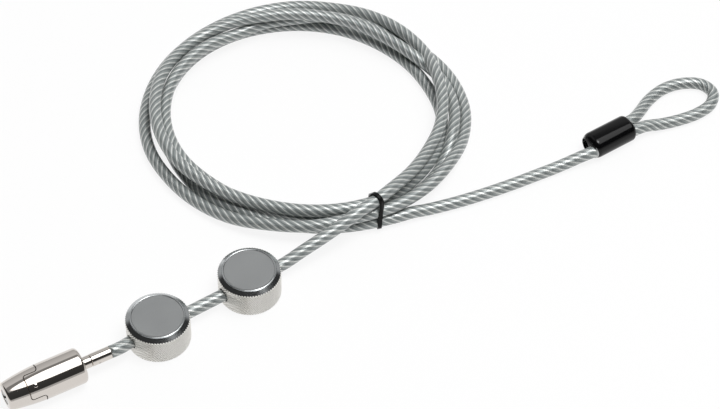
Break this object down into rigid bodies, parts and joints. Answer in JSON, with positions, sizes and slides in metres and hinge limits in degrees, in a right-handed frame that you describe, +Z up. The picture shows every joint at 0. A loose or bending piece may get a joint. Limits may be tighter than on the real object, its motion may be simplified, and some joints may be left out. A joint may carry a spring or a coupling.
{
  "type": "laptop cable lock",
  "caption": "Security cable lock: barrel lock head on a swivel plug, coiled steel cable with sliding anchor pucks, and a crimped loop at the far end.",
  "frame": {"origin": "middle of the front anchor puck's base, on the surface that the lock lies on", "axes": "+X along the straight cable from the lock head towards the coil, +Y towards the coil's middle, +Z up from the surface"},
  "size_m": [0.3775, 0.1837, 0.02],
  "materials": {
    "chrome": "polished",
    "satin_nickel": "satin, diamond knurl on the side, polished bevel",
    "grey_disc": "satin",
    "steel": "turned",
    "brass": "turned",
    "bronze": "turned",
    "nylon": "moulded",
    "rubber": "matt",
    "wire_rope": "bare stranded wire rope",
    "covered_rope": "clear plastic cover over silver wire rope",
    "black_plastic": "gloss",
    "black_nylon": "satin",
    "crimp_metal": "pressed"
  },
  "bodies": {
    "cable": {"cable_lead": "covered_rope", "cable_coil": "covered_rope", "cable_tail": "covered_rope", "cable_eye": "covered_rope", "coil_tie": "black_nylon", "eye_crimp": "crimp_metal", "eye_sleeve": "black_plastic", "ferrule": "chrome", "swivel_ring": "bronze", "rope_stub": "wire_rope"},
    "plug": {"plug_pin": "chrome"},
    "head": {"head_body": "chrome", "head_nose": "chrome", "rear_bush": "steel", "lock_barrel": "brass", "cross_pin": "steel"},
    "key_core": {"key_plug": "steel", "wafers": "brass", "lock_cam": "steel"},
    "near_ball": {"latch_ball_near": "steel"},
    "far_ball": {"latch_ball_far": "steel"},
    "front_puck": {"front_shell": "satin_nickel", "front_disc": "grey_disc", "front_core": "nylon", "front_base": "steel", "front_foot": "rubber", "front_screws": "steel"},
    "rear_puck": {"rear_shell": "satin_nickel", "rear_disc": "grey_disc", "rear_core": "nylon", "rear_base": "steel", "rear_foot": "rubber", "rear_screws": "steel"}
  },
  "joints": [
    {"name": "plug_swivel", "type": "hinge", "parent": "cable", "child": "plug", "pos_m": [-0.0383, -0.00015, 0.00815], "axis": [-0.9969, 0.0785, 0], "continuous": true},
    {"name": "head_pull", "type": "slide", "parent": "plug", "child": "head", "axis": [-0.9969, 0.0785, 0], "range_m": [0, 0.022]},
    {"name": "key_turn", "type": "hinge", "parent": "head", "child": "key_core", "pos_m": [-0.0383, -0.00015, 0.00815], "axis": [-0.9969, 0.0785, 0], "range_deg": [0, 90]},
    {"name": "near_ball_slide", "type": "slide", "parent": "head", "child": "near_ball", "axis": [0.0601, 0.7637, 0.6428], "range_m": [0, 0.00085]},
    {"name": "far_ball_slide", "type": "slide", "parent": "head", "child": "far_ball", "axis": [-0.0601, -0.7637, -0.6428], "range_m": [0, 0.00085]},
    {"name": "front_puck_slide", "type": "slide", "parent": "cable", "child": "front_puck", "axis": [1, 0, 0], "range_m": [0, 0.008]},
    {"name": "rear_puck_slide", "type": "slide", "parent": "cable", "child": "rear_puck", "axis": [1, 0, 0], "range_m": [-0.008, 0.004]}
  ],
  "couplings": [
    {"joint": "near_ball_slide", "follows": "key_turn", "m_per_rad": 0.000541},
    {"joint": "far_ball_slide", "follows": "key_turn", "m_per_rad": 0.000541}
  ]
}
